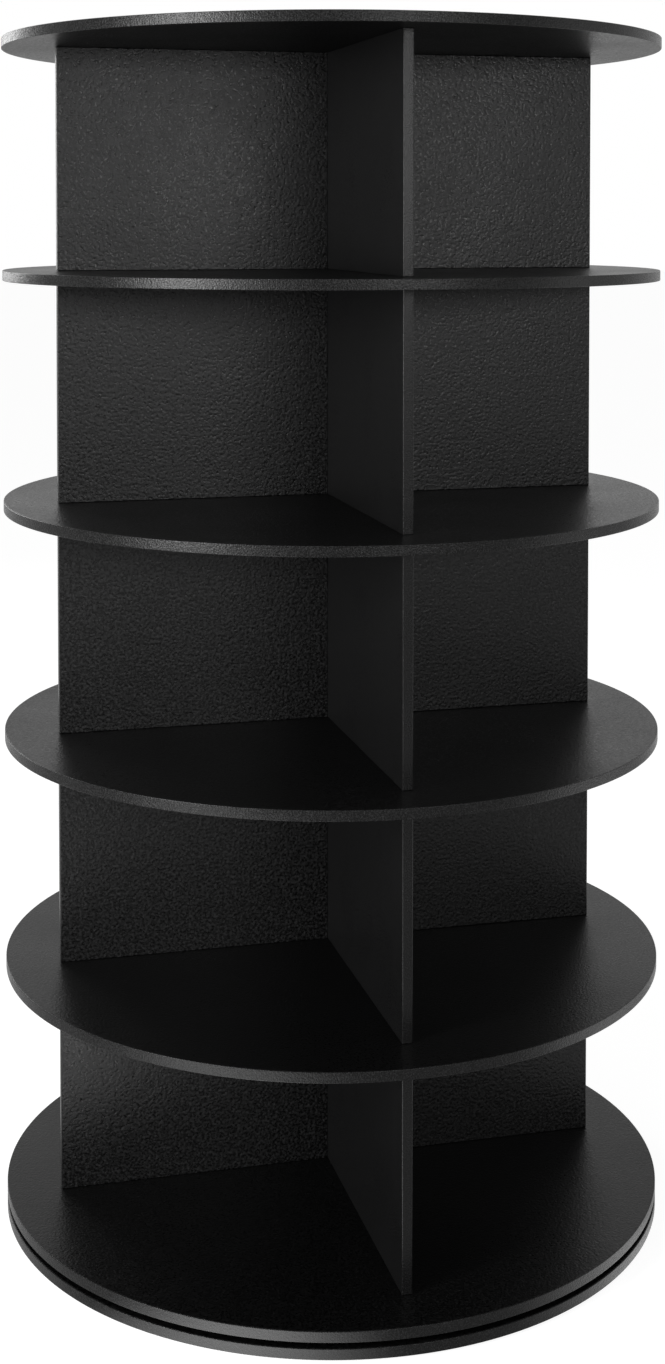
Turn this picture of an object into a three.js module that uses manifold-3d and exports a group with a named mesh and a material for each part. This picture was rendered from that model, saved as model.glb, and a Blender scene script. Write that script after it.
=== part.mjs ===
// Rotating shoe tower: five tiers of round black boards that turn as one on a low round base.
// In each tier one long panel and two half panels carry the next board and part it into four places.
// Sizes are in millimetres, +Z is up, and the origin is on the floor under the middle of the tower.
// The long panels lie along X, and the front of the tower faces -Y.

import * as THREE from 'three';
import { mergeVertices } from 'three/addons/utils/BufferGeometryUtils.js';
import Module from 'manifold-3d';

// Boards: the discs and the upright panels are cut from one black faced board
const discDiameter = 600;
const boardThickness = 9;
const edgeEase = 0.8;

// Tiers
const tierCount = 5;
const clearHeight = 199;
const panelSetback = 47;
const housingDepth = 2;

// Clearances
const seatGap = 0.3;
const fitClearance = 0.3;
const cutOverrun = 1;

// Bearing: two flat rings, one inside the other, with a cage of balls between them
const ballCircleDiameter = 240;
const ballDiameter = 2.4;
const ballCount = 16;
const raceLip = 0.6;
const ringWidth = 16;
const runningGap = 0.7;
const cageThickness = 0.8;
const cageHeight = 1.4;
const cageClearance = 0.4;

// Studs and countersunk screws that hold the panels
const studInset = 73;
const threadDiameter = 4;
const threadDepth = 20;
const threadEase = 0.6;
const panelHeadDiameter = 8;
const panelHeadHeight = 2.4;
const panelSocketWidth = 3;
const panelSocketDepth = 1.6;

// Countersunk screws that hold the bearing rings
const ringScrewCount = 3;
const ringScrewDiameter = 3;
const ringScrewBite = 4;
const ringScrewEase = 0.6;
const ringHeadDiameter = 6;
const ringHeadHeight = 1.8;
const ringSocketWidth = 2.4;
const ringSocketDepth = 1.2;
const headRim = 0.4;
const accessHoleDiameter = 12;

// Foot pads
const padCount = 4;
const padDiameter = 30;
const padHeight = 3;
const padEase = 0.8;
const padInset = 38;

// Facets of the round pieces
const discSides = 96;
const ringSides = 72;
const padSides = 24;
const threadSides = 10;
const ballSides = 8;
const ballRings = 5;
const socketSides = 6;

// Places worked out from the sizes above
const discRadius = discDiameter / 2;
const tierPitch = clearHeight + boardThickness;
const panelHeight = clearHeight - 2 * seatGap;
const panelReach = discRadius - panelSetback;
const studCircleRadius = panelReach - studInset;
const ballCircleRadius = ballCircleDiameter / 2;
const ballRadius = ballDiameter / 2;
const ringHeight = ballDiameter + 2 * raceLip + runningGap - seatGap;
const bearingGap = seatGap + ringHeight + runningGap;
const baseUnderside = padHeight + seatGap;
const bearingFloor = baseUnderside + boardThickness;
const turntableUnderside = bearingFloor + bearingGap;

const material = (color, roughness, metalness) => (
  new THREE.MeshStandardMaterial({ color, roughness, metalness })
);
const blackBoard = material(0x1c1c1d, 0.4, 0);
const brushedAluminium = material(0xa9abad, 0.4, 0.9);
const blackSteel = material(0x2a2a2c, 0.45, 0.8);
const zincSteel = material(0x9fa2a6, 0.4, 0.9);
const paleNylon = material(0xd8d6cc, 0.6, 0);
const blackRubber = material(0x141414, 0.85, 0);

const wasm = await Module();
wasm.setup();

// A closed shape made ready for cutting: vertices merged and needle triangles at the poles left out
function toSolid(geometry) {
  const bare = geometry.clone();
  bare.deleteAttribute('normal');
  bare.deleteAttribute('uv');
  const merged = mergeVertices(bare);
  const corners = merged.index.array;
  const kept = [];
  for (let i = 0; i < corners.length; i += 3) {
    const [a, b, c] = corners.slice(i, i + 3);
    if (a !== b && b !== c && c !== a) {
      kept.push(a, b, c);
    }
  }
  const vertProperties = Float32Array.from(merged.attributes.position.array);
  return new wasm.Manifold(new wasm.Mesh({ numProp: 3, vertProperties, triVerts: Uint32Array.from(kept) }));
}

function toGeometry(solid) {
  const { vertProperties, triVerts } = solid.getMesh();
  const geometry = new THREE.BufferGeometry();
  geometry.setAttribute('position', new THREE.BufferAttribute(vertProperties, 3));
  geometry.setIndex(new THREE.BufferAttribute(triVerts, 1));
  geometry.computeVertexNormals();
  return geometry;
}

function cutAway(geometry, cutters) {
  let solid = toSolid(geometry);
  for (const cutter of cutters) {
    solid = solid.subtract(toSolid(cutter));
  }
  return toGeometry(solid);
}

function joinTogether(geometry, additions) {
  let solid = toSolid(geometry);
  for (const addition of additions) {
    solid = solid.add(toSolid(addition));
  }
  return toGeometry(solid);
}

// A shape turned about Z from [radius, height] points that go round it from the bottom up
function turned(profile, sides) {
  const points = profile.map(([radius, height]) => new THREE.Vector2(radius, height));
  return new THREE.LatheGeometry(points, sides).rotateX(Math.PI / 2);
}

function upsideDown(geometry) {
  return geometry.rotateX(Math.PI);
}

function atAngle(geometry, radius, angle, height) {
  return geometry.translate(radius * Math.cos(angle), radius * Math.sin(angle), height);
}

function anglesRound(count, first) {
  return Array.from({ length: count }, (_, n) => first + (2 * Math.PI * n) / count);
}

// The four sides of the tower, where each panel has its stud or screw
const sides = ['right', 'rear', 'left', 'front'];
const sideAngles = anglesRound(sides.length, 0);

// Turned cutters and fasteners. Each has its mouth or head at height zero and points down.
function plainHole(diameter, depth) {
  const radius = diameter / 2 + fitClearance;
  const profile = [[0, -depth], [radius, -depth], [radius, cutOverrun], [0, cutOverrun]];
  return turned(profile, threadSides);
}

function countersunkHole(diameter, headDiameter, headHeight, depth) {
  const radius = diameter / 2 + fitClearance;
  const headRadius = headDiameter / 2 + fitClearance;
  const profile = [
    [0, -depth],
    [radius, -depth],
    [radius, -headHeight],
    [headRadius, -headRim],
    [headRadius, cutOverrun],
    [0, cutOverrun],
  ];
  return turned(profile, threadSides);
}

function countersunkScrew(size) {
  const radius = size.diameter / 2;
  const headRadius = size.headDiameter / 2;
  const profile = [
    [0, -size.length],
    [radius - size.ease, -size.length],
    [radius, size.ease - size.length],
    [radius, -size.headHeight],
    [headRadius, -headRim],
    [headRadius, 0],
    [0, 0],
  ];
  const socketHeight = size.socketDepth + cutOverrun;
  const socket = new THREE.CylinderGeometry(
    size.socketWidth / 2, size.socketWidth / 2, socketHeight, socketSides,
  );
  socket.rotateX(Math.PI / 2).translate(0, 0, socketHeight / 2 - size.socketDepth);
  return cutAway(turned(profile, threadSides), [socket]);
}

function panelScrew() {
  return countersunkScrew({
    diameter: threadDiameter,
    length: boardThickness + threadDepth,
    ease: threadEase,
    headDiameter: panelHeadDiameter,
    headHeight: panelHeadHeight,
    socketWidth: panelSocketWidth,
    socketDepth: panelSocketDepth,
  });
}

function ringScrew() {
  return countersunkScrew({
    diameter: ringScrewDiameter,
    length: ringHeight + seatGap + ringScrewBite,
    ease: ringScrewEase,
    headDiameter: ringHeadDiameter,
    headHeight: ringHeadHeight,
    socketWidth: ringSocketWidth,
    socketDepth: ringSocketDepth,
  });
}

// A headless stud through one shelf, with a thread in the panel edge above it and in the one below it
function shelfStud() {
  const radius = threadDiameter / 2;
  const top = boardThickness + threadDepth;
  const bottom = -threadDepth;
  const profile = [
    [0, bottom],
    [radius - threadEase, bottom],
    [radius, bottom + threadEase],
    [radius, top - threadEase],
    [radius - threadEase, top],
    [0, top],
  ];
  return toGeometry(toSolid(turned(profile, threadSides)));
}

// Round boards, with the underside at height zero
function roundBoard(cutters) {
  const profile = [
    [0, 0],
    [discRadius - edgeEase, 0],
    [discRadius, edgeEase],
    [discRadius, boardThickness - edgeEase],
    [discRadius - edgeEase, boardThickness],
    [0, boardThickness],
  ];
  return cutAway(turned(profile, discSides), cutters);
}

function shelfDisc() {
  const hole = () => plainHole(threadDiameter, boardThickness + cutOverrun);
  return roundBoard(sideAngles.map((angle) => atAngle(hole(), studCircleRadius, angle, boardThickness)));
}

function panelScrewHole() {
  const depth = boardThickness + cutOverrun;
  return countersunkHole(threadDiameter, panelHeadDiameter, panelHeadHeight, depth);
}

function topDisc() {
  return roundBoard(
    sideAngles.map((angle) => atAngle(panelScrewHole(), studCircleRadius, angle, boardThickness)),
  );
}

function turntableDisc() {
  const screwHole = () => upsideDown(panelScrewHole());
  const pilotHole = () => upsideDown(plainHole(ringScrewDiameter, ringScrewBite + fitClearance));
  return roundBoard([
    ...sideAngles.map((angle) => atAngle(screwHole(), studCircleRadius, angle, 0)),
    ...innerScrewAngles.map((angle) => atAngle(pilotHole(), innerScrewCircle, angle, 0)),
  ]);
}

// The base has one hole right through, by which the screws of the inner ring are reached in turn
function baseDisc() {
  const pilotHole = () => plainHole(ringScrewDiameter, ringScrewBite + fitClearance);
  const accessHole = plainHole(accessHoleDiameter, boardThickness + cutOverrun);
  return roundBoard([
    ...outerScrewAngles.map((angle) => atAngle(pilotHole(), outerScrewCircle, angle, boardThickness)),
    atAngle(accessHole, innerScrewCircle, innerScrewAngles[0], boardThickness),
  ]);
}

// Upright panels, along X from one end to the other, with the lower edge at height zero
function panelBoard(start, end) {
  const face = boardThickness / 2;
  const corners = [
    [start + edgeEase, -face],
    [end - edgeEase, -face],
    [end, edgeEase - face],
    [end, face - edgeEase],
    [end - edgeEase, face],
    [start + edgeEase, face],
    [start, face - edgeEase],
    [start, edgeEase - face],
  ];
  const outline = new THREE.Shape(corners.map(([x, y]) => new THREE.Vector2(x, y)));
  return new THREE.ExtrudeGeometry(outline, { depth: panelHeight, bevelEnabled: false });
}

// The blind holes for a stud or screw in the upper and the lower edge of a panel
function edgeHoles(x) {
  const depth = threadDepth + fitClearance - seatGap;
  return [
    plainHole(threadDiameter, depth).translate(x, 0, panelHeight),
    upsideDown(plainHole(threadDiameter, depth)).translate(x, 0, 0),
  ];
}

// The housing is a shallow upright groove in the long panel that takes the inner end of a half panel
function housing(direction) {
  const width = boardThickness + 2 * fitClearance;
  const depth = housingDepth + cutOverrun;
  const height = panelHeight + 2 * cutOverrun;
  const middle = boardThickness / 2 - housingDepth + depth / 2;
  return new THREE.BoxGeometry(width, depth, height).translate(0, direction * middle, panelHeight / 2);
}

function longPanel() {
  return cutAway(panelBoard(-panelReach, panelReach), [
    housing(1),
    housing(-1),
    ...edgeHoles(studCircleRadius),
    ...edgeHoles(-studCircleRadius),
  ]);
}

function halfPanel() {
  const innerEnd = boardThickness / 2 - housingDepth + fitClearance;
  return cutAway(panelBoard(innerEnd, panelReach), edgeHoles(studCircleRadius));
}

// Bearing rings. The race is a groove of four corners, so that each ball touches its two slopes.
const ringOffset = cageThickness / 2 + cageClearance;
const raceDepth = ballRadius + fitClearance;
const raceHeight = bearingGap / 2 - seatGap;
const screwCircleOffset = ringOffset + ringWidth / 2;
const outerScrewCircle = ballCircleRadius + screwCircleOffset;
const innerScrewCircle = ballCircleRadius - screwCircleOffset;
const outerScrewAngles = anglesRound(ringScrewCount, -Math.PI / 2);
const innerScrewAngles = anglesRound(ringScrewCount, Math.PI / 2);

function ringScrewHole() {
  return countersunkHole(ringScrewDiameter, ringHeadDiameter, ringHeadHeight, ringHeight + cutOverrun);
}

// The outer ring rests on the base disc, with its underside at height zero and its screws from above
function outerRing() {
  const wall = ballCircleRadius + ringOffset;
  const raceFloor = ballCircleRadius + raceDepth;
  const rim = wall + ringWidth;
  const profile = [
    [wall, 0],
    [rim, 0],
    [rim, ringHeight],
    [wall, ringHeight],
    [wall, raceHeight + ballRadius],
    [raceFloor, raceHeight + ballRadius / 2],
    [raceFloor, raceHeight - ballRadius / 2],
    [wall, raceHeight - ballRadius],
    [wall, 0],
  ];
  return cutAway(
    turned(profile, ringSides),
    outerScrewAngles.map((angle) => atAngle(ringScrewHole(), outerScrewCircle, angle, ringHeight)),
  );
}

// The inner ring hangs under the turntable disc, with its upper face at height zero
function innerRing() {
  const wall = ballCircleRadius - ringOffset;
  const raceFloor = ballCircleRadius - raceDepth;
  const rim = wall - ringWidth;
  const profile = [
    [wall, 0],
    [rim, 0],
    [rim, -ringHeight],
    [wall, -ringHeight],
    [wall, -raceHeight - ballRadius],
    [raceFloor, -raceHeight - ballRadius / 2],
    [raceFloor, -raceHeight + ballRadius / 2],
    [wall, -raceHeight + ballRadius],
    [wall, 0],
  ];
  const screwHole = () => upsideDown(ringScrewHole());
  return cutAway(
    turned(profile, ringSides),
    innerScrewAngles.map((angle) => atAngle(screwHole(), innerScrewCircle, angle, -ringHeight)),
  );
}

// The balls sit in a thin cage ring, with their middles at height zero
function ballCage() {
  const inside = ballCircleRadius - cageThickness / 2;
  const outside = ballCircleRadius + cageThickness / 2;
  const top = cageHeight / 2;
  const profile = [[inside, -top], [outside, -top], [outside, top], [inside, top], [inside, -top]];
  const ball = () => new THREE.SphereGeometry(ballRadius, ballSides, ballRings);
  const balls = anglesRound(ballCount, 0).map((angle) => atAngle(ball(), ballCircleRadius, angle, 0));
  return joinTogether(turned(profile, ringSides), balls);
}

// A round rubber pad with its lower face on the floor
function footPad() {
  const radius = padDiameter / 2;
  const profile = [
    [0, 0],
    [radius - padEase, 0],
    [radius, padEase],
    [radius, padHeight],
    [0, padHeight],
  ];
  return toGeometry(toSolid(turned(profile, padSides)));
}

function place(parent, name, geometry, finish, height, angle = 0) {
  const piece = new THREE.Mesh(geometry, finish);
  piece.name = name;
  piece.position.z = height;
  piece.rotation.z = angle;
  parent.add(piece);
  return piece;
}

function placeRound(parent, name, geometry, finish, radius, angle, height) {
  const piece = place(parent, name, geometry, finish, height);
  piece.position.x = radius * Math.cos(angle);
  piece.position.y = radius * Math.sin(angle);
}

// The base stands still on the floor
const base = new THREE.Group();
place(base, 'base_disc', baseDisc(), blackBoard, baseUnderside);
place(base, 'bearing_outer_ring', outerRing(), brushedAluminium, bearingFloor + seatGap);
outerScrewAngles.forEach((angle, n) => {
  const height = bearingFloor + seatGap + ringHeight;
  placeRound(base, `outer_ring_screw_${n + 1}`, ringScrew(), zincSteel, outerScrewCircle, angle, height);
});
anglesRound(padCount, Math.PI / padCount).forEach((angle, n) => {
  placeRound(base, `foot_pad_${n + 1}`, footPad(), blackRubber, discRadius - padInset, angle, 0);
});

// The ball cage turns between the rings
const cage = new THREE.Group();
place(cage, 'bearing_ball_cage', ballCage(), paleNylon, bearingFloor + bearingGap / 2);

// The tower turns as one, with the underside of its turntable disc at height zero
const tower = new THREE.Group();
tower.position.z = turntableUnderside;
place(tower, 'turntable_disc', turntableDisc(), blackBoard, 0);
place(tower, 'bearing_inner_ring', innerRing(), brushedAluminium, -seatGap);
innerScrewAngles.forEach((angle, n) => {
  const name = `inner_ring_screw_${n + 1}`;
  const height = -seatGap - ringHeight;
  placeRound(tower, name, upsideDown(ringScrew()), zincSteel, innerScrewCircle, angle, height);
});
sides.forEach((side, n) => {
  const name = `turntable_screw_${side}`;
  placeRound(tower, name, upsideDown(panelScrew()), zincSteel, studCircleRadius, sideAngles[n], 0);
});

for (let tier = 1; tier <= tierCount; tier += 1) {
  const floor = (tier - 1) * tierPitch + boardThickness + seatGap;
  place(tower, `long_panel_${tier}`, longPanel(), blackBoard, floor);
  place(tower, `front_panel_${tier}`, halfPanel(), blackBoard, floor, -Math.PI / 2);
  place(tower, `rear_panel_${tier}`, halfPanel(), blackBoard, floor, Math.PI / 2);
}

for (let shelf = 1; shelf < tierCount; shelf += 1) {
  const underside = shelf * tierPitch;
  place(tower, `shelf_disc_${shelf}`, shelfDisc(), blackBoard, underside);
  sides.forEach((side, n) => {
    const name = `shelf_stud_${shelf}_${side}`;
    placeRound(tower, name, shelfStud(), zincSteel, studCircleRadius, sideAngles[n], underside);
  });
}

const topUnderside = tierCount * tierPitch;
place(tower, 'top_disc', topDisc(), blackBoard, topUnderside);
sides.forEach((side, n) => {
  const height = topUnderside + boardThickness;
  placeRound(tower, `top_screw_${side}`, panelScrew(), blackSteel, studCircleRadius, sideAngles[n], height);
});

const shoeTower = new THREE.Group();
shoeTower.add(base, cage, tower);
export default shoeTower;
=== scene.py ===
# Rotating shoe tower: five tiers of round black boards that turn as one on a low round base.
# Metres, +Z up, origin on the floor under the middle of the tower, and its front towards -Y.
import math

import bpy
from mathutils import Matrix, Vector


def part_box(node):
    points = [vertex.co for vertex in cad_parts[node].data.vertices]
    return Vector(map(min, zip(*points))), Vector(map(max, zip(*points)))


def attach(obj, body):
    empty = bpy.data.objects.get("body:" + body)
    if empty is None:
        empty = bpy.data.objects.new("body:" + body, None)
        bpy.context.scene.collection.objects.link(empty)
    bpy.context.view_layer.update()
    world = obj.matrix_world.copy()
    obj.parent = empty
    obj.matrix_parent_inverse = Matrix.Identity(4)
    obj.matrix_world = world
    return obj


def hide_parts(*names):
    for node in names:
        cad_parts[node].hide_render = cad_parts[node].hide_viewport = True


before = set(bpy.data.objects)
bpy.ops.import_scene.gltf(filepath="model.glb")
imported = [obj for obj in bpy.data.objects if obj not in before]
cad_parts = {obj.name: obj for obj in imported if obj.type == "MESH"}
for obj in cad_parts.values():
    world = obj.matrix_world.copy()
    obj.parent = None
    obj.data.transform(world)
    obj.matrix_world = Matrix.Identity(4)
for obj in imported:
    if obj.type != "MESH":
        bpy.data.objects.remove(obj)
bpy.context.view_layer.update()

# Camera
# It stands a little under two metres from the axis of the tower and to the left of its front, at the height
# of the uppermost tier, and looks slightly down. The left ends of the long panels are nearer to it.
FRAME_WIDTH_PX = 665
FRAME_HEIGHT_PX = 1364
FOCAL_LENGTH_PX = 2010
OPTICAL_AXIS_PX = (331.3, 291)
SENSOR_MM = 36
CAMERA_DISTANCE = 1.856
CAMERA_HEIGHT = 0.906
CAMERA_TURN = math.radians(-14.2)
CAMERA_TILT = math.radians(2.1)

camera_data = bpy.data.cameras.new("camera")
camera_data.sensor_width = SENSOR_MM
camera_data.lens = FOCAL_LENGTH_PX * SENSOR_MM / FRAME_HEIGHT_PX
camera_data.shift_x = (FRAME_WIDTH_PX / 2 - OPTICAL_AXIS_PX[0]) / FRAME_HEIGHT_PX
camera_data.shift_y = (OPTICAL_AXIS_PX[1] - FRAME_HEIGHT_PX / 2) / FRAME_HEIGHT_PX
camera = bpy.data.objects.new("camera", camera_data)
camera.location = (
    math.sin(CAMERA_TURN) * CAMERA_DISTANCE,
    -math.cos(CAMERA_TURN) * CAMERA_DISTANCE,
    CAMERA_HEIGHT,
)
camera.rotation_euler = (math.pi / 2 - CAMERA_TILT, 0, CAMERA_TURN)
bpy.context.collection.objects.link(camera)
bpy.context.scene.camera = camera
bpy.context.scene.view_settings.view_transform = "Standard"


# Floor
# A wide pale sheet, white to the camera, with painted pools of light round the tower that only the gloss of
# the boards shows. It is painted in nodes, as every finish here is: a Signal is what one node gives, and
# arithmetic on it adds the Math nodes.
class Signal:
    def __init__(self, finish, socket):
        self.finish = finish
        self.socket = socket

    def combined(self, operation, first, second):
        return self.finish.node("ShaderNodeMath", {"operation": operation}, {0: first, 1: second})

    def __add__(self, other):
        return self.combined("ADD", self, other)

    def __sub__(self, other):
        return self.combined("SUBTRACT", self, other)

    def __rsub__(self, other):
        return self.combined("SUBTRACT", other, self)

    def __mul__(self, other):
        return self.combined("MULTIPLY", self, other)

    __radd__ = __add__
    __rmul__ = __mul__


class Finish:
    def __init__(self, tree):
        self.tree = tree

    def node(self, kind, settings=None, values=None, gives=0):
        made = self.tree.nodes.new(kind)
        for setting, value in (settings or {}).items():
            setattr(made, setting, value)
        for socket, value in (values or {}).items():
            self.feed(made.inputs[socket], value)
        return Signal(self, made.outputs[gives])

    def feed(self, socket, value):
        if isinstance(value, Signal):
            self.tree.links.new(value.socket, socket)
        else:
            socket.default_value = value


def new_material(name):
    material = bpy.data.materials.new(name)
    material.use_nodes = True
    return material, Finish(material.node_tree), material.node_tree.nodes["Principled BSDF"]


FLOOR_SIZE = 60
FLOOR_WHITE = (0.9, 0.9, 0.9, 1)
FLOOR_ROUGHNESS = 0.9
FLOOR_GLOW = 1.39
FLOOR_GLOW_SHARE = 0.65
MIRRORED_GLOW = 0.68
MIRRORED_GLOW_SHARE = 0.9

# Each painted pool of light has its middle, how far it reaches, and what it adds at its middle to the glow
# that the gloss of the boards sees.
PAINTED_LIGHT_POOLS = (
    ((-0.17, -0.3, 0), 0.17, 9.5),
    ((-0.55, -0.58, 0), 0.5, 7),
    ((-1.5, -0.93, 0), 0.8, 7),
    ((0.22, -0.25, 0), 0.16, 1.7),
    ((0.7, -0.3, 0), 0.45, 2.2),
    ((1.6, -0.45, 0), 0.8, 3.6),
)

bpy.ops.object.select_all(action="DESELECT")
bpy.ops.mesh.primitive_plane_add(size=FLOOR_SIZE)
floor = bpy.context.object
floor.name = "floor"
floor_material, floor_finish, floor_shader = new_material("pale_floor")
floor_shader.inputs["Base Color"].default_value = FLOOR_WHITE
floor_shader.inputs["Roughness"].default_value = FLOOR_ROUGHNESS
floor_shader.inputs["Specular IOR Level"].default_value = 0
floor_ray = floor_finish.node("ShaderNodeLightPath").socket.node
seen = Signal(floor_finish, floor_ray.outputs["Is Camera Ray"])
mirrored = Signal(floor_finish, floor_ray.outputs["Is Glossy Ray"])
floor_place = floor_finish.node("ShaderNodeTexCoord", gives="Object")
# The glow in the gloss is the even floor plus painted pools of light round the tower, which only glossy
# rays see.
glow_in_gloss_with_painted_pools = MIRRORED_GLOW
for centre, reach, strength in PAINTED_LIGHT_POOLS:
    distance = floor_finish.node(
        "ShaderNodeVectorMath", {"operation": "DISTANCE"}, {0: floor_place, 1: centre}, gives="Value",
    )
    glow_in_gloss_with_painted_pools = glow_in_gloss_with_painted_pools + floor_finish.node(
        "ShaderNodeMapRange",
        {"interpolation_type": "SMOOTHSTEP"},
        {"Value": distance, "From Min": 0, "From Max": reach, "To Min": strength, "To Max": 0},
    )
glow = floor_finish.node(
    "ShaderNodeEmission", values={"Strength": seen * FLOOR_GLOW + mirrored * glow_in_gloss_with_painted_pools},
)
floor_surface = floor_finish.node(
    "ShaderNodeMixShader",
    values={
        0: seen * FLOOR_GLOW_SHARE + mirrored * MIRRORED_GLOW_SHARE,
        1: Signal(floor_finish, floor_shader.outputs[0]),
        2: glow,
    },
)
floor_finish.feed(floor_material.node_tree.nodes["Material Output"].inputs["Surface"], floor_surface)
floor.data.materials.append(floor_material)

# Light
# A white studio. Its walls show white to the camera, and a little greyer in the gloss of the boards, and
# give a weak even light. Four soft boxes stand round the front, the strongest of them on the left, and a
# fifth at the rear.
STUDIO_FILL = 0.22
MIRRORED_SHARE = 0.64

# Each soft box has its place, the height on the axis of the tower that it faces, its width and height, and
# its power in watts.
SOFT_BOXES = (
    ("front_soft_box", (0.5, -2.8, 1.12), 1.0, (1.3, 0.32), 15),
    ("main_soft_box", (-2.16, -2.08, 0.85), 0.7, (1.4, 1.0), 16),
    ("left_soft_box", (-2.7, -1.35, 1.15), 0.8, (0.8, 1.5), 100),
    ("right_soft_box", (2.8, -1.0, 0.7), 0.6, (1.2, 1.3), 5),
    ("rear_soft_box", (-1.3, 2.6, 1.3), 0.6, (0.9, 1.2), 15),
)

world = bpy.data.worlds.new("studio")
world.use_nodes = True
bpy.context.scene.world = world
studio = Finish(world.node_tree)
background = world.node_tree.nodes["Background"]
background.inputs["Color"].default_value = (1, 1, 1, 1)
ray = studio.node("ShaderNodeLightPath").socket.node
shown = (
    Signal(studio, ray.outputs["Is Camera Ray"])
    + MIRRORED_SHARE * Signal(studio, ray.outputs["Is Glossy Ray"])
    + Signal(studio, ray.outputs["Is Transmission Ray"])
)
studio.feed(background.inputs["Strength"], shown * (1 - STUDIO_FILL) + STUDIO_FILL)

for name, place, faced_height, size, power in SOFT_BOXES:
    light = bpy.data.lights.new(name, "AREA")
    light.shape = "RECTANGLE"
    light.size, light.size_y = size
    light.energy = power
    lamp = bpy.data.objects.new(name, light)
    lamp.location = place
    lamp.rotation_euler = (Vector((0, 0, faced_height)) - Vector(place)).to_track_quat("-Z", "Y").to_euler()
    lamp.visible_camera = False
    bpy.context.collection.objects.link(lamp)

# Round boards
# Seven discs of nine millimetre chipboard with a black melamine face, and a one millimetre plastic band
# ironed round the edge of each. The faces are satin, and the bands have a sparkling grain.
SHELVES = (1, 2, 3, 4)
BAND_THICKNESS = 0.001
SEAM_EASE = 0.00012
ARRIS = 0.0005
ARRIS_STEPS = 3
DISC_STEPS = 256
BAND_JOINT_ANGLE = math.radians(0.03)
STUD_HOLE_RADIUS = 0.0023
SCREW_HEAD_RADIUS = 0.0043
SCREW_HEAD_DEPTH = 0.0026
ACCESS_HOLE_RADIUS = 0.0063
HOLE_STEPS = 32
OVERRUN = 0.001
WELD_DISTANCE = 0.000001
SMOOTH_ANGLE = math.radians(35)
FULL_TURN = 2 * math.pi

DISC_BLACK = (0.001, 0.001, 0.001, 1)
DISC_SPECK = (0.006, 0.006, 0.0061, 1)
BAND_BLACK = (0.002, 0.002, 0.002, 1)
BAND_SPECK = (0.014, 0.014, 0.0143, 1)
DISC_GLOSS = 0.2
BAND_GLOSS = 0.2

# What the grain of every board and band has in common. The clouds are the broad changes in its gloss.
PEBBLE_SMOOTHNESS = 0.6
PEBBLE_HEIGHT = 0.6
SPECKS_PER_PEBBLE = 1.3
SPECK_ROUGHNESS = 0.6
SPECK_START = 0.46
SPECK_FULL = 0.68
CLOUD_SCALE = 9
CLOUD_SWING = 0.16
NOISE_MIDDLE = 0.5


def mixed_colour(finish, factor, first, second):
    return finish.node(
        "ShaderNodeMix",
        {"data_type": "RGBA"},
        {"Factor": factor, 6: first, 7: second},
        gives=2,
    )


def noise(finish, place, scale, detail, roughness=0.5):
    values = {"Vector": place, "Scale": scale, "Detail": detail, "Roughness": roughness}
    return finish.node("ShaderNodeTexNoise", values=values, gives="Fac")


def board_material(name, black, speck, gloss, roughness, grain_size, grain_height, sparkle):
    """Black melamine or its edge band: pebbles in the surface, and specks that catch the light."""
    material, finish, shader = new_material(name)
    place = finish.node("ShaderNodeTexCoord", gives="Object")
    pebbles = finish.node(
        "ShaderNodeTexVoronoi",
        {"feature": "SMOOTH_F1"},
        {"Vector": place, "Scale": 1 / grain_size, "Smoothness": PEBBLE_SMOOTHNESS},
        gives="Distance",
    )
    grain = noise(finish, place, SPECKS_PER_PEBBLE / grain_size, detail=2, roughness=SPECK_ROUGHNESS)
    cloud = noise(finish, place, CLOUD_SCALE, detail=3)
    specks = finish.node(
        "ShaderNodeMapRange",
        values={"Value": grain, "From Min": SPECK_START, "From Max": SPECK_FULL, "To Min": 0, "To Max": 1},
    )
    change = (grain - NOISE_MIDDLE) * sparkle + (cloud - NOISE_MIDDLE) * CLOUD_SWING
    shader.inputs["Specular IOR Level"].default_value = gloss
    finish.feed(shader.inputs["Base Color"], mixed_colour(finish, specks, black, speck))
    finish.feed(shader.inputs["Roughness"], roughness + change)
    bump = finish.node(
        "ShaderNodeBump",
        values={"Strength": 1, "Distance": grain_height, "Height": pebbles * PEBBLE_HEIGHT + grain},
    )
    finish.feed(shader.inputs["Normal"], bump)
    return material


disc_material = board_material(
    "satin_melamine",
    DISC_BLACK,
    DISC_SPECK,
    DISC_GLOSS,
    roughness=0.34,
    grain_size=0.0024,
    grain_height=0.00024,
    sparkle=0.4,
)
band_material = board_material(
    "black_edge_band",
    BAND_BLACK,
    BAND_SPECK,
    BAND_GLOSS,
    roughness=0.26,
    grain_size=0.0015,
    grain_height=0.00024,
    sparkle=0.6,
)


def choose(piece):
    """Makes the piece the only one selected, and the active one."""
    bpy.ops.object.select_all(action="DESELECT")
    piece.select_set(True)
    bpy.context.view_layer.objects.active = piece


def settle(piece, name, material):
    """Names the piece that was just made, gives it its finish and puts its place into its mesh."""
    piece.name = name
    piece.data.materials.clear()
    piece.data.materials.append(material)
    choose(piece)
    bpy.ops.object.transform_apply(location=True, rotation=True, scale=True)
    return piece


def use_modifier(piece, kind, **settings):
    modifier = piece.modifiers.new(kind.lower(), kind)
    for setting, value in settings.items():
        setattr(modifier, setting, value)
    choose(piece)
    bpy.ops.object.modifier_apply(modifier=modifier.name)


def pick(piece, part, wanted):
    """Leaves the piece in edit mode with the vertices, edges or faces selected whose middles are wanted."""
    choose(piece)
    bpy.ops.object.mode_set(mode="EDIT")
    bpy.ops.mesh.select_mode(type={"vertices": "VERT", "edges": "EDGE", "polygons": "FACE"}[part])
    bpy.ops.mesh.select_all(action="DESELECT")
    bpy.ops.object.mode_set(mode="OBJECT")
    corners = piece.data.vertices
    for item in getattr(piece.data, part):
        if part == "vertices":
            item.select = wanted(item.co)
        elif part == "polygons":
            item.select = wanted(item.center)
        else:
            item.select = wanted((corners[item.vertices[0]].co + corners[item.vertices[1]].co) / 2)
    bpy.ops.object.mode_set(mode="EDIT")


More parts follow.
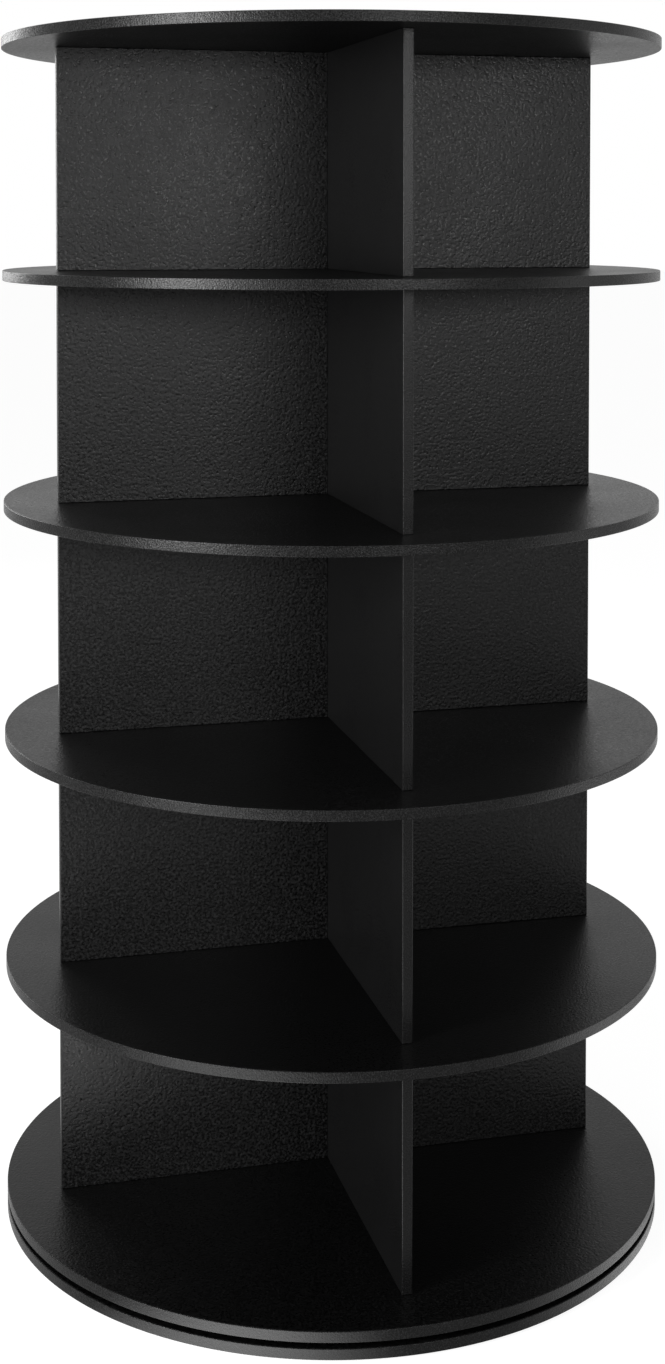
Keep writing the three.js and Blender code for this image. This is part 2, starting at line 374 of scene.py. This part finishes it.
def copy_piece(piece, name, place=(0, 0, 0), turn=(0, 0, 0)):
    """A copy with its own mesh, turned about the origin and then moved to its place."""
    choose(piece)
    bpy.ops.object.duplicate(linked=False)
    twin = bpy.context.object
    twin.location = place
    twin.rotation_euler = turn
    return settle(twin, name, twin.data.materials[0])


def cut_with(piece, cutter):
    use_modifier(piece, "BOOLEAN", object=cutter, operation="DIFFERENCE", solver="EXACT")
    bpy.data.objects.remove(cutter)


def turned_piece(name, top, radius, steps, sides, material):
    """A round solid drawn down from its top face. Each step is a drop and the radius that it ends at."""
    bpy.ops.object.select_all(action="DESELECT")
    bpy.ops.mesh.primitive_circle_add(
        vertices=sides, radius=radius, fill_type="NGON", location=(0, 0, top),
    )
    piece = settle(bpy.context.object, name, material)
    bpy.ops.object.mode_set(mode="EDIT")
    bpy.ops.mesh.select_all(action="SELECT")
    for drop, next_radius in steps:
        bpy.ops.mesh.extrude_region_move(TRANSFORM_OT_translate={"value": (0, 0, -drop)})
        growth = next_radius / radius
        bpy.ops.transform.resize(value=(growth, growth, 1), center_override=(0, 0, 0))
        radius = next_radius
    bpy.ops.mesh.select_all(action="SELECT")
    bpy.ops.mesh.normals_make_consistent(inside=False)
    bpy.ops.object.mode_set(mode="OBJECT")
    return piece


def drill(piece, place, top, radius, steps, sides=HOLE_STEPS):
    """Cuts a hole of the form that turned_piece gives."""
    cutter = turned_piece("cutter", top, radius, steps, sides, disc_material)
    cutter.location = (place[0], place[1], 0)
    cut_with(piece, cutter)


def fit(piece, body, slot, *nodes):
    """Smooths the piece, says what it moves with, and hides the solids of the frame that it stands for. The
    slot is not used.
    """
    choose(piece)
    bpy.ops.object.shade_smooth_by_angle(angle=SMOOTH_ANGLE)
    use_modifier(piece, "WEIGHTED_NORMAL", keep_sharp=True)
    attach(piece, body)
    if nodes:
        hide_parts(*nodes)


disc_low, disc_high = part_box("turntable_disc")
disc_radius = disc_high.x
core_radius = disc_radius - BAND_THICKNESS
board = disc_high.z - disc_low.z
discs = ["base_disc", "turntable_disc", *(f"shelf_disc_{shelf}" for shelf in SHELVES), "top_disc"]
disc_rise = {disc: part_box(disc)[0].z for disc in discs}
screw_low, screw_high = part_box("top_screw_right")
stud_circle = (screw_low.x + screw_high.x) / 2
stud_places = [(stud_circle, 0), (0, stud_circle), (-stud_circle, 0), (0, -stud_circle)]

bpy.ops.object.select_all(action="DESELECT")
bpy.ops.mesh.primitive_cylinder_add(
    vertices=DISC_STEPS, radius=core_radius, depth=board, location=(0, 0, board / 2),
)
blank_core = settle(bpy.context.object, "blank_core", disc_material)
use_modifier(blank_core, "BEVEL", width=SEAM_EASE, segments=1, limit_method="ANGLE")

# The band starts as its own cross section at the rear of the disc and is spun round it, up to the
# hairline where its two ends meet.
def cross_section(name, inner, outer, low, high, material):
    """A rectangle that stands behind the axis of the tower, ready to be spun round it."""
    bpy.ops.object.select_all(action="DESELECT")
    bpy.ops.mesh.primitive_plane_add(size=1, rotation=(0, math.pi / 2, 0))
    section = bpy.context.object
    section.location = (0, (inner + outer) / 2, (low + high) / 2)
    section.scale = (high - low, outer - inner, 1)
    return settle(section, name, material)


def spin_round(piece, steps, angle):
    """Spins the cross section round the axis; over a full turn it leaves a ring without a seam."""
    choose(piece)
    bpy.ops.object.mode_set(mode="EDIT")
    bpy.ops.mesh.select_all(action="SELECT")
    if angle == FULL_TURN:
        bpy.ops.mesh.delete(type="ONLY_FACE")
        bpy.ops.mesh.select_all(action="SELECT")
    bpy.ops.mesh.spin(steps=steps, angle=angle, center=(0, 0, 0), axis=(0, 0, 1))
    bpy.ops.mesh.select_all(action="SELECT")
    bpy.ops.mesh.remove_doubles(threshold=WELD_DISTANCE)
    bpy.ops.mesh.normals_make_consistent(inside=False)
    bpy.ops.object.mode_set(mode="OBJECT")


blank_band = cross_section("blank_band", core_radius, disc_radius, 0, board, band_material)
pick(blank_band, "vertices", lambda place: place.y > core_radius + BAND_THICKNESS / 2)
bpy.ops.mesh.bevel(affect="VERTICES", offset=ARRIS, segments=ARRIS_STEPS)
bpy.ops.object.mode_set(mode="OBJECT")
pick(blank_band, "vertices", lambda place: place.y < core_radius + SEAM_EASE)
bpy.ops.mesh.bevel(affect="VERTICES", offset=SEAM_EASE, segments=1)
bpy.ops.object.mode_set(mode="OBJECT")
spin_round(blank_band, DISC_STEPS, FULL_TURN - BAND_JOINT_ANGLE)

through = board + 2 * OVERRUN
shelf_core = copy_piece(blank_core, "shelf_core")
for place in stud_places:
    drill(shelf_core, place, board + OVERRUN, STUD_HOLE_RADIUS, [(through, STUD_HOLE_RADIUS)])


def drill_for_head(piece, place, low, high, hole_radius, head_radius, head_depth, head_up):
    """Cuts a hole through the piece with a cone for a screw head at its upper or its lower end.

    The cone runs on beyond the face by its own depth, to a radius that gives the head's at the face.
    """
    wide = 2 * head_radius - hole_radius
    straight = high - low - head_depth + OVERRUN
    if head_up:
        steps = [(2 * head_depth, hole_radius), (straight, hole_radius)]
        drill(piece, place, high + head_depth, wide, steps)
    else:
        steps = [(straight, hole_radius), (2 * head_depth, wide)]
        drill(piece, place, high + OVERRUN, hole_radius, steps)


# The heads of the screws lie in the upper face of the top disc and in the lower face of the turntable.
top_core = copy_piece(blank_core, "top_core")
turntable_core = copy_piece(blank_core, "turntable_core")
for place in stud_places:
    for core, head_up in ((top_core, True), (turntable_core, False)):
        drill_for_head(
            core, place, 0, board, STUD_HOLE_RADIUS, SCREW_HEAD_RADIUS, SCREW_HEAD_DEPTH, head_up,
        )

# The base has one hole right through, by which the screws of the inner bearing ring are reached in turn.
base_core = copy_piece(blank_core, "base_core")
access_low, access_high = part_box("inner_ring_screw_1")
access_place = (access_low + access_high) / 2
drill(base_core, access_place, board + OVERRUN, ACCESS_HOLE_RADIUS, [(through, ACCESS_HOLE_RADIUS)])

core_kind = {"base_disc": base_core, "turntable_disc": turntable_core, "top_disc": top_core}
for disc in discs:
    body = "base" if disc == "base_disc" else "tower"
    place = (0, 0, disc_rise[disc])
    core = copy_piece(core_kind.get(disc, shelf_core), f"{disc}_board", place)
    fit(core, body, "disc_board", disc)
    fit(copy_piece(blank_band, f"{disc}_edge_band", place), body, "disc_board")
for blank in (blank_core, blank_band, shelf_core, top_core, turntable_core, base_core):
    bpy.data.objects.remove(blank)

# Upright panels
# In each tier one long panel and two half panels of nine millimetre board stand between the discs. The half
# panels sit in shallow housings in the long one, and each outer end has a band. The long panels have a
# coarse pebbled grain, the half panels a fine one, and their bands are nearly smooth.
PANEL_EASE = 0.0008
PANEL_ARRIS = 0.0009
EASE_STEPS = 2
HOUSING_DEPTH = 0.002
HOUSING_WIDTH = 0.0096
NEARNESS = 0.001
TIERS = (1, 2, 3, 4, 5)
QUARTERS = {"right": 0, "rear": math.pi / 2, "left": math.pi, "front": -math.pi / 2}
PANEL_BLACK = (0.0017, 0.0017, 0.0017, 1)
PANEL_SPECK = (0.0156, 0.0156, 0.0159, 1)
PANEL_GLOSS = 0.25

panel_material = board_material(
    "grained_melamine",
    PANEL_BLACK,
    PANEL_SPECK,
    PANEL_GLOSS,
    roughness=0.33,
    grain_size=0.0031,
    grain_height=0.00035,
    sparkle=0.6,
)
half_panel_material = board_material(
    "fine_melamine",
    PANEL_BLACK,
    PANEL_SPECK,
    PANEL_GLOSS,
    roughness=0.32,
    grain_size=0.0012,
    grain_height=0.00008,
    sparkle=0.3,
)
end_band_material = board_material(
    "smooth_edge_band",
    BAND_BLACK,
    BAND_SPECK,
    BAND_GLOSS,
    roughness=0.28,
    grain_size=0.0011,
    grain_height=0.00008,
    sparkle=0.3,
)

long_low, long_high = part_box("long_panel_1")
front_low, front_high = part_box("front_panel_1")
panel_low = disc_rise["turntable_disc"] + board
panel_high = disc_rise["shelf_disc_1"]
panel_middle = (panel_low + panel_high) / 2
tier_rise = disc_rise["shelf_disc_1"] - disc_rise["turntable_disc"]
panel_screw_length = screw_high.z - screw_low.z
edge_hole_depth = panel_screw_length - board


def board_box(name, start, end, material):
    """A plain board that stands in the lowest tier and runs from start to end along X."""
    bpy.ops.object.select_all(action="DESELECT")
    bpy.ops.mesh.primitive_cube_add(
        size=1,
        location=((start + end) / 2, 0, panel_middle),
        scale=(end - start, board, panel_high - panel_low),
    )
    return settle(bpy.context.object, name, material)


def panel_core(name, start, end, hole_places, material):
    """A panel without its bands, with its long edges eased and holes for its fasteners above and below."""
    core = board_box(name, start, end, material)
    middle = (start + end) / 2
    pick(core, "edges", lambda place: abs(place.y) > board / 4 and abs(place.x - middle) < NEARNESS)
    bpy.ops.mesh.bevel(offset=PANEL_EASE, segments=EASE_STEPS)
    bpy.ops.object.mode_set(mode="OBJECT")
    for place in hole_places:
        for top in (panel_high + OVERRUN, panel_low + edge_hole_depth):
            drill(core, place, top, STUD_HOLE_RADIUS, [(edge_hole_depth + OVERRUN, STUD_HOLE_RADIUS)])
    return core


long_core = panel_core(
    "long_core",
    long_low.x + BAND_THICKNESS,
    long_high.x - BAND_THICKNESS,
    [(stud_circle, 0), (-stud_circle, 0)],
    panel_material,
)
for side in (-1, 1):
    bpy.ops.object.select_all(action="DESELECT")
    bpy.ops.mesh.primitive_cube_add(
        size=1,
        location=(0, side * board / 2, panel_middle),
        scale=(HOUSING_WIDTH, 2 * HOUSING_DEPTH, panel_high - panel_low + 2 * OVERRUN),
    )
    cut_with(long_core, bpy.context.object)
half_core = panel_core(
    "half_core",
    -front_high.y,
    -front_low.y - BAND_THICKNESS,
    [(stud_circle, 0)],
    half_panel_material,
)

end_band = board_box("end_band", long_high.x - BAND_THICKNESS, long_high.x, end_band_material)
pick(end_band, "edges", lambda place: place.x > long_high.x - BAND_THICKNESS / 4)
bpy.ops.mesh.bevel(offset=PANEL_ARRIS, segments=ARRIS_STEPS)
bpy.ops.object.mode_set(mode="OBJECT")

for tier in TIERS:
    place = (0, 0, (tier - 1) * tier_rise)
    long_board = copy_piece(long_core, f"long_panel_{tier}_board", place)
    fit(long_board, "tower", "panel_board", f"long_panel_{tier}")
    for side in ("front", "rear"):
        half_board = copy_piece(half_core, f"{side}_panel_{tier}_board", place, (0, 0, QUARTERS[side]))
        fit(half_board, "tower", "panel_board", f"{side}_panel_{tier}")
    for side, quarter in QUARTERS.items():
        band = copy_piece(end_band, f"{side}_end_band_{tier}", place, (0, 0, quarter))
        fit(band, "tower", "panel_board")
for blank in (long_core, half_core, end_band):
    bpy.data.objects.remove(blank)

# Top and turntable screws
# Countersunk screws with a hexagon socket hold the uppermost panels from above, in blackened steel, and the
# lowest ones from below, in zinc plate. Each is turned from bar: a flat head, a cone under it and a shank.
HEAD_STEPS = 36
HEAD_RADIUS = 0.004
HEAD_RIM = 0.0004
HEAD_HEIGHT = 0.0024
SHANK_RADIUS = 0.002
SHANK_EASE = 0.0006
SOCKET_RADIUS = 0.0016
SOCKET_DEPTH = 0.0016
SOCKET_SIDES = 6
HEAD_EASE = 0.00015
HEAD_EDGE_ANGLE = math.radians(40)
BLACK_STEEL = (0.016, 0.016, 0.017, 1)
BLACK_STEEL_WORN = (0.06, 0.058, 0.055, 1)
ZINC_DARK = (0.36, 0.37, 0.39, 1)
ZINC_LIGHT = (0.58, 0.59, 0.6, 1)

# What the clouds and the fine grain of every plated or moulded finish have in common.
PLATING_CLOUD_SWING = 0.2
PLATING_GRAIN_SWING = 0.1
PLATING_GRAIN_FINENESS = 6
PLATING_BUMP_STRENGTH = 0.4
PLATING_BUMP_DEPTH = 0.00004


def cloudy_material(name, dark, light, scale, metallic, roughness):
    """A plated, blackened, polished or moulded finish: cloudy in colour, with a fine grain in its gloss."""
    material, finish, shader = new_material(name)
    place = finish.node("ShaderNodeTexCoord", gives="Object")
    cloud = noise(finish, place, scale, detail=4)
    grain = noise(finish, place, scale * PLATING_GRAIN_FINENESS, detail=2)
    change = (cloud - NOISE_MIDDLE) * PLATING_CLOUD_SWING + (grain - NOISE_MIDDLE) * PLATING_GRAIN_SWING
    shader.inputs["Metallic"].default_value = metallic
    finish.feed(shader.inputs["Base Color"], mixed_colour(finish, cloud, dark, light))
    finish.feed(shader.inputs["Roughness"], roughness + change)
    bump = finish.node(
        "ShaderNodeBump",
        values={"Strength": PLATING_BUMP_STRENGTH, "Distance": PLATING_BUMP_DEPTH, "Height": grain},
    )
    finish.feed(shader.inputs["Normal"], bump)
    return material


def socket_screw(
    name, head_radius, head_height, shank_radius, length, socket_radius, socket_depth, material,
):
    """A countersunk screw that points down, with the face of its head at the origin."""
    shank = length - head_height - SHANK_EASE
    steps = [
        (HEAD_RIM, head_radius),
        (head_height - HEAD_RIM, shank_radius),
        (shank, shank_radius),
        (SHANK_EASE, shank_radius - SHANK_EASE),
    ]
    screw = turned_piece(name, 0, head_radius, steps, HEAD_STEPS, material)
    socket_steps = [(socket_depth + OVERRUN, socket_radius)]
    drill(screw, (0, 0), OVERRUN, socket_radius, socket_steps, sides=SOCKET_SIDES)
    use_modifier(
        screw,
        "BEVEL",
        width=HEAD_EASE,
        segments=EASE_STEPS,
        limit_method="ANGLE",
        angle_limit=HEAD_EDGE_ANGLE,
    )
    return screw


def put_screw(screw, node, body, slot, head_up):
    """Puts a copy of the screw where the node is, with its head at the node's upper or lower end."""
    low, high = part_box(node)
    middle = (low + high) / 2
    place = (middle.x, middle.y, high.z if head_up else low.z)
    turn = (0, 0, 0) if head_up else (math.pi, 0, 0)
    fit(copy_piece(screw, f"{node}_fitted", place, turn), body, slot, node)


black_steel = cloudy_material(
    "black_oxide", BLACK_STEEL, BLACK_STEEL_WORN, scale=300, metallic=0.7, roughness=0.38,
)
zinc = cloudy_material("zinc_plate", ZINC_DARK, ZINC_LIGHT, scale=420, metallic=1, roughness=0.34)
for disc, slot, plating, head_up in (
    ("top", "black_screw", black_steel, True),
    ("turntable", "zinc_screw", zinc, False),
):
    panel_screw = socket_screw(
        "panel_screw",
        HEAD_RADIUS,
        HEAD_HEIGHT,
        SHANK_RADIUS,
        panel_screw_length,
        SOCKET_RADIUS,
        SOCKET_DEPTH,
        plating,
    )
    for side in QUARTERS:
        put_screw(panel_screw, f"{disc}_screw_{side}", "tower", slot, head_up)
    bpy.data.objects.remove(panel_screw)

# Bearing rings
# Two flat rings of satin aluminium, turned on a lathe, lie one inside the other between the base and the
# turntable. The outer one is screwed to the base and the inner one to the turntable, with a race in each.
RING_STEPS = 190
RING_WIDTH = 0.016
RING_EASE = 0.0002
RING_EDGE_ANGLE = math.radians(50)
RACE_MOUTH = 0.0024
RACE_SLOPE = 0.0006
RACE_DEPTH = 0.0007
RING_HOLE_RADIUS = 0.0018
RING_HEAD_HOLE_RADIUS = 0.0033
RING_HEAD_DEPTH = 0.0018
LATHE_DARK = (0.42, 0.43, 0.44, 1)
LATHE_LIGHT = (0.62, 0.63, 0.64, 1)
LATHE_MARKS_SCALE = 2600
LATHE_MARKS_ROUGHNESS = 0.7
LATHE_CLOUD_SCALE = 60
LATHE_ROUGHNESS = 0.3
LATHE_SWING = 0.2
LATHE_BUMP_STRENGTH = 0.5
LATHE_BUMP_DEPTH = 0.00003


def lathe_material():
    """Turned aluminium: fine circular tool marks round the axis of the tower."""
    material, finish, shader = new_material("turned_aluminium")
    place = finish.node("ShaderNodeTexCoord", gives="Object")
    flat = finish.node("ShaderNodeVectorMath", {"operation": "MULTIPLY"}, {0: place, 1: (1, 1, 0)})
    radius = finish.node("ShaderNodeVectorMath", {"operation": "LENGTH"}, {0: flat}, gives="Value")
    rings = finish.node("ShaderNodeCombineXYZ", values={0: radius * LATHE_MARKS_SCALE})
    marks = noise(finish, rings, 1, detail=3, roughness=LATHE_MARKS_ROUGHNESS)
    cloud = noise(finish, place, LATHE_CLOUD_SCALE, detail=3)
    change = (marks - NOISE_MIDDLE) * LATHE_SWING + (cloud - NOISE_MIDDLE) * LATHE_SWING
    shader.inputs["Metallic"].default_value = 1
    finish.feed(shader.inputs["Base Color"], mixed_colour(finish, marks, LATHE_DARK, LATHE_LIGHT))
    finish.feed(shader.inputs["Roughness"], LATHE_ROUGHNESS + change)
    bump = finish.node(
        "ShaderNodeBump",
        values={"Strength": LATHE_BUMP_STRENGTH, "Distance": LATHE_BUMP_DEPTH, "Height": marks},
    )
    finish.feed(shader.inputs["Normal"], bump)
    return material


def bearing_ring(name, wall, rim, low, high, race_height):
    """A flat ring of rectangular section from its wall, which has the race, to its rim."""
    ring = cross_section(name, min(wall, rim), max(wall, rim), low, high, aluminium)
    spin_round(ring, RING_STEPS, FULL_TURN)
    choose(ring)
    bpy.ops.object.mode_set(mode="EDIT")
    for height in (race_height - RACE_MOUTH / 2, race_height + RACE_MOUTH / 2):
        bpy.ops.mesh.select_all(action="SELECT")
        bpy.ops.mesh.bisect(plane_co=(0, 0, height), plane_no=(0, 0, 1))
    bpy.ops.object.mode_set(mode="OBJECT")

    def in_race(place):
        return abs(place.xy.length - wall) < NEARNESS and abs(place.z - race_height) < RACE_MOUTH / 4

    pick(ring, "polygons", in_race)
    bpy.ops.mesh.inset(thickness=RACE_SLOPE, depth=-RACE_DEPTH, use_even_offset=True)
    bpy.ops.object.mode_set(mode="OBJECT")
    use_modifier(
        ring,
        "BEVEL",
        width=RING_EASE,
        segments=EASE_STEPS,
        limit_method="ANGLE",
        angle_limit=RING_EDGE_ANGLE,
    )
    return ring


def drill_ring(ring, nodes, low, high, head_up):
    """Makes a countersunk hole in the ring for each of the screws."""
    for node in nodes:
        node_low, node_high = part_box(node)
        place = (node_low + node_high) / 2
        drill_for_head(
            ring, place, low, high, RING_HOLE_RADIUS, RING_HEAD_HOLE_RADIUS, RING_HEAD_DEPTH, head_up,
        )


aluminium = lathe_material()
cage_low, cage_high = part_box("bearing_ball_cage")
race_height = (cage_low.z + cage_high.z) / 2
outer_low, outer_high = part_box("bearing_outer_ring")
inner_low, inner_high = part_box("bearing_inner_ring")
outer_screws = [f"outer_ring_screw_{n}" for n in (1, 2, 3)]
inner_screws = [f"inner_ring_screw_{n}" for n in (1, 2, 3)]

outer_ring = bearing_ring(
    "outer_ring", outer_high.x - RING_WIDTH, outer_high.x, outer_low.z, outer_high.z, race_height,
)
drill_ring(outer_ring, outer_screws, outer_low.z, outer_high.z, True)
fit(outer_ring, "base", "ring_aluminium", "bearing_outer_ring")
inner_ring = bearing_ring(
    "inner_ring", inner_high.x, inner_high.x - RING_WIDTH, inner_low.z, inner_high.z, race_height,
)
drill_ring(inner_ring, inner_screws, inner_low.z, inner_high.z, False)
fit(inner_ring, "tower", "ring_aluminium", "bearing_inner_ring")

# Bearing screws
# Small countersunk screws of zinc plated steel with a hexagon socket, turned like the screws of the panels.
# Three hold the outer ring down on the base, and three hold the inner ring up under the turntable.
RING_HEAD_RADIUS = 0.003
RING_SHANK_RADIUS = 0.0015
RING_SOCKET_RADIUS = 0.0013
RING_SOCKET_DEPTH = 0.0012

ring_screw_low, ring_screw_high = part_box("outer_ring_screw_1")
ring_screw = socket_screw(
    "ring_screw",
    RING_HEAD_RADIUS,
    RING_HEAD_DEPTH,
    RING_SHANK_RADIUS,
    ring_screw_high.z - ring_screw_low.z,
    RING_SOCKET_RADIUS,
    RING_SOCKET_DEPTH,
    zinc,
)
for outer_screw, inner_screw in zip(outer_screws, inner_screws):
    put_screw(ring_screw, outer_screw, "base", "zinc_screw", True)
    put_screw(ring_screw, inner_screw, "tower", "zinc_screw", False)
bpy.data.objects.remove(ring_screw)

# Ball cage
# A thin moulded nylon ring between the two bearing rings carries sixteen polished steel balls, which run
# in the races.
CAGE_THICKNESS = 0.0008
CAGE_HEIGHT = 0.0014
CAGE_EASE = 0.0001
BALL_COUNT = 16
BALL_RADIUS = 0.0012
BALL_CUTS = 7
NYLON = (0.62, 0.61, 0.56, 1)
NYLON_DULL = (0.5, 0.49, 0.44, 1)
STEEL_DARK = (0.5, 0.5, 0.51, 1)
STEEL_LIGHT = (0.68, 0.68, 0.69, 1)

ball_circle = (outer_high.x - RING_WIDTH + inner_high.x) / 2
nylon = cloudy_material("moulded_nylon", NYLON, NYLON_DULL, scale=200, metallic=0, roughness=0.5)
cage = cross_section(
    "ball_cage_ring",
    ball_circle - CAGE_THICKNESS / 2,
    ball_circle + CAGE_THICKNESS / 2,
    race_height - CAGE_HEIGHT / 2,
    race_height + CAGE_HEIGHT / 2,
    nylon,
)
bpy.ops.object.mode_set(mode="EDIT")
bpy.ops.mesh.select_all(action="SELECT")
bpy.ops.mesh.bevel(affect="VERTICES", offset=CAGE_EASE, segments=EASE_STEPS)
bpy.ops.object.mode_set(mode="OBJECT")
spin_round(cage, RING_STEPS, FULL_TURN)
fit(cage, "ball_cage", "cage_nylon", "bearing_ball_cage")

steel = cloudy_material("polished_steel", STEEL_DARK, STEEL_LIGHT, scale=900, metallic=1, roughness=0.16)
bpy.ops.object.select_all(action="DESELECT")
bpy.ops.mesh.primitive_cube_add(size=2 * BALL_RADIUS)
ball = settle(bpy.context.object, "ball", steel)
bpy.ops.object.mode_set(mode="EDIT")
bpy.ops.mesh.select_all(action="SELECT")
bpy.ops.mesh.subdivide(number_cuts=BALL_CUTS)
bpy.ops.object.mode_set(mode="OBJECT")
use_modifier(ball, "CAST", cast_type="SPHERE", factor=1, use_radius_as_size=False, size=BALL_RADIUS)
for n in range(BALL_COUNT):
    angle = FULL_TURN * n / BALL_COUNT
    place = (ball_circle * math.cos(angle), ball_circle * math.sin(angle), race_height)
    fit(copy_piece(ball, f"bearing_ball_{n + 1}", place), "ball_cage", "cage_nylon")
bpy.data.objects.remove(ball)

# Shelf studs
# Headless zinc plated studs pass through each shelf into the panels above and below it. The boards hide
# them, so the solids of the frame stay and only take their plating.
for shelf in SHELVES:
    for side in QUARTERS:
        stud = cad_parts[f"shelf_stud_{shelf}_{side}"]
        stud.data.materials.clear()
        stud.data.materials.append(zinc)

# Foot pads
# Four round pads of moulded black rubber are glued under the base. Each has an eased lower edge and a
# round recess in its underside, so that it stands on a ring.
PAD_SIDES = 64
PAD_RADIUS = 0.015
PAD_EASE = 0.0008
PAD_RECESS = 0.0006
PAD_RING_WIDTH = 0.005
PAD_ARRIS = 0.0002
PAD_EDGE_ANGLE = math.radians(30)
RUBBER = (0.007, 0.007, 0.007, 1)
RUBBER_DUSTY = (0.018, 0.018, 0.0175, 1)

rubber = cloudy_material("black_rubber", RUBBER, RUBBER_DUSTY, scale=160, metallic=0, roughness=0.78)
pad_top = disc_rise["base_disc"]
pad_steps = [(pad_top - PAD_EASE, PAD_RADIUS), (PAD_EASE, PAD_RADIUS - PAD_EASE)]
pad = turned_piece("pad", pad_top, PAD_RADIUS, pad_steps, PAD_SIDES, rubber)
pick(pad, "polygons", lambda place: place.z < PAD_EASE / 4)
bpy.ops.mesh.inset(thickness=PAD_RING_WIDTH, depth=0)
bpy.ops.mesh.inset(thickness=PAD_RECESS, depth=-PAD_RECESS)
bpy.ops.object.mode_set(mode="OBJECT")
use_modifier(
    pad,
    "BEVEL",
    width=PAD_ARRIS,
    segments=EASE_STEPS,
    limit_method="ANGLE",
    angle_limit=PAD_EDGE_ANGLE,
)
for n in (1, 2, 3, 4):
    node = f"foot_pad_{n}"
    pad_low, pad_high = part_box(node)
    middle = (pad_low + pad_high) / 2
    fit(copy_piece(pad, f"{node}_rubber", (middle.x, middle.y, 0)), "base", "pad_rubber", node)
bpy.data.objects.remove(pad)
